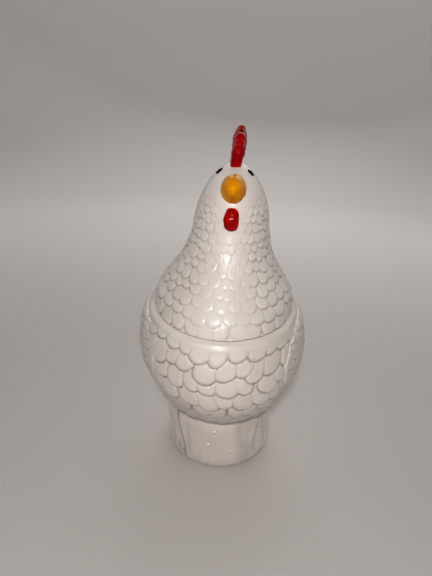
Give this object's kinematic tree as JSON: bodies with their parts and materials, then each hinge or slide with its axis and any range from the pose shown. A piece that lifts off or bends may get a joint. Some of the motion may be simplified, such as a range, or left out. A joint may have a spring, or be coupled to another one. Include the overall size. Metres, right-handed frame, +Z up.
{
  "type": "lidded hen jar",
  "caption": "Hollow ceramic jar shaped like a hen on a round pedestal, with a lift-off lid that is the hen's neck and head.",
  "frame": {"origin": "on the table under the middle of the hen's overall length and width, between the breast and the tail", "axes": "+Z up from the table, -Y the way the hen faces, +X the hen's left side"},
  "size_m": [0.1261, 0.1761, 0.2499],
  "materials": {
    "white_glaze": "gloss",
    "comb_glaze": "gloss",
    "wattle_glaze": "gloss",
    "beak_glaze": "gloss",
    "eye_glaze": "gloss"
  },
  "bodies": {
    "jar": {"jar_body": "white_glaze", "pedestal_foot": "white_glaze", "wing_left": "white_glaze", "wing_right": "white_glaze", "tail": "white_glaze"},
    "lid": {"lid_shell": "white_glaze", "comb": "comb_glaze", "beak": "beak_glaze", "wattle": "wattle_glaze", "eye_left": "eye_glaze", "eye_right": "eye_glaze"}
  },
  "joints": [
    {"name": "lid_lift", "type": "slide", "parent": "jar", "child": "lid", "axis": [0, 0, 1], "range_m": [0, 0.15]}
  ]
}
